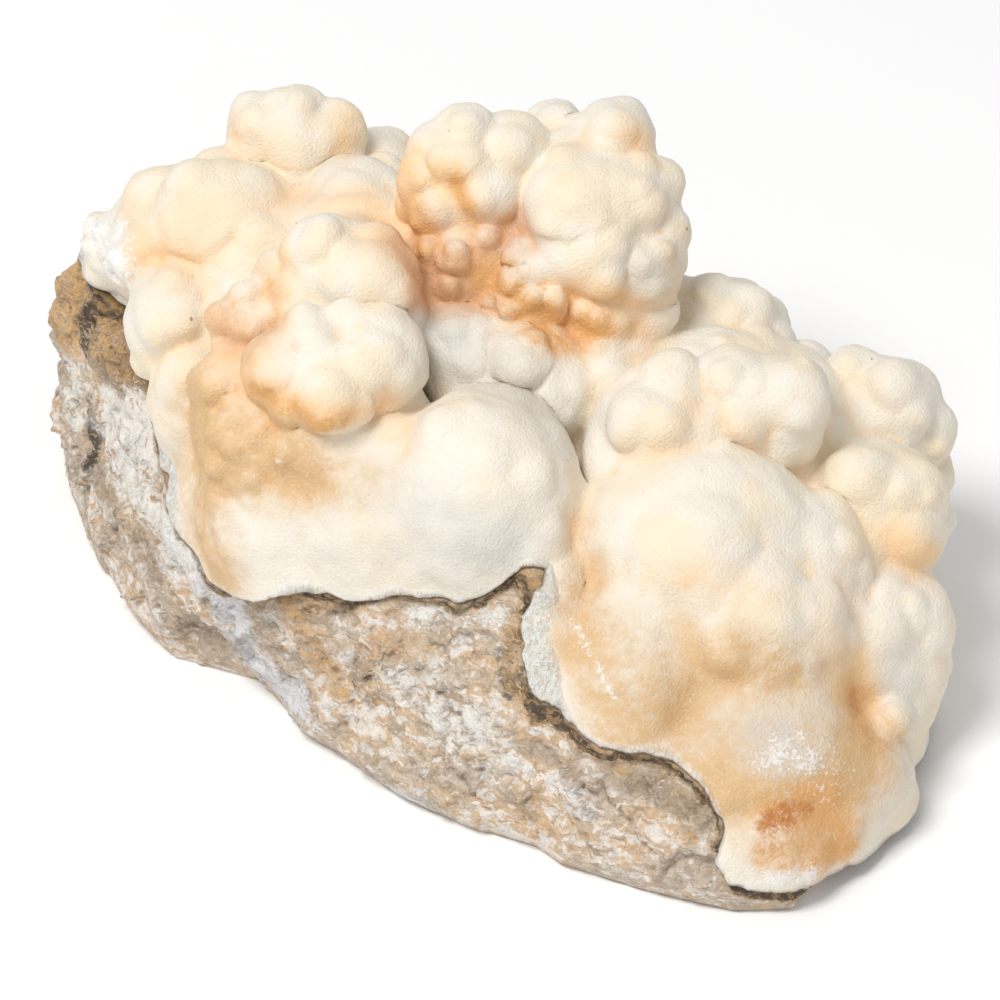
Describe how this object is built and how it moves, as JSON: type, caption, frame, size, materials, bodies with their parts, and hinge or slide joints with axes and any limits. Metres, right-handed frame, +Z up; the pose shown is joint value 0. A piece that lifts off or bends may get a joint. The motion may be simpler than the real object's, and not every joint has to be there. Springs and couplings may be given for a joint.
{
  "type": "aragonite cluster",
  "caption": "Natural mineral specimen: a cream botryoidal aragonite crust of rounded lobes and knobs grown over a broken wedge of crystalline matrix stone.",
  "frame": {"origin": "on the flat resting face, near its middle", "axes": "+Z up, away from the resting face; +X along the longest extent, towards the low thin end of the stone; -Y towards the broken front wall"},
  "size_m": [0.116, 0.1019, 0.0649],
  "materials": {
    "aragonite_crust": "fine sugary matt crust, cream on the tops, peach to rust orange in the creases",
    "matrix_stone": "broken coarse crystalline rock in tan, brown and white, with a thin dark seam under the crust"
  },
  "bodies": {
    "root": {"aragonite_crust": "aragonite_crust", "matrix_stone": "matrix_stone"}
  },
  "joints": []
}
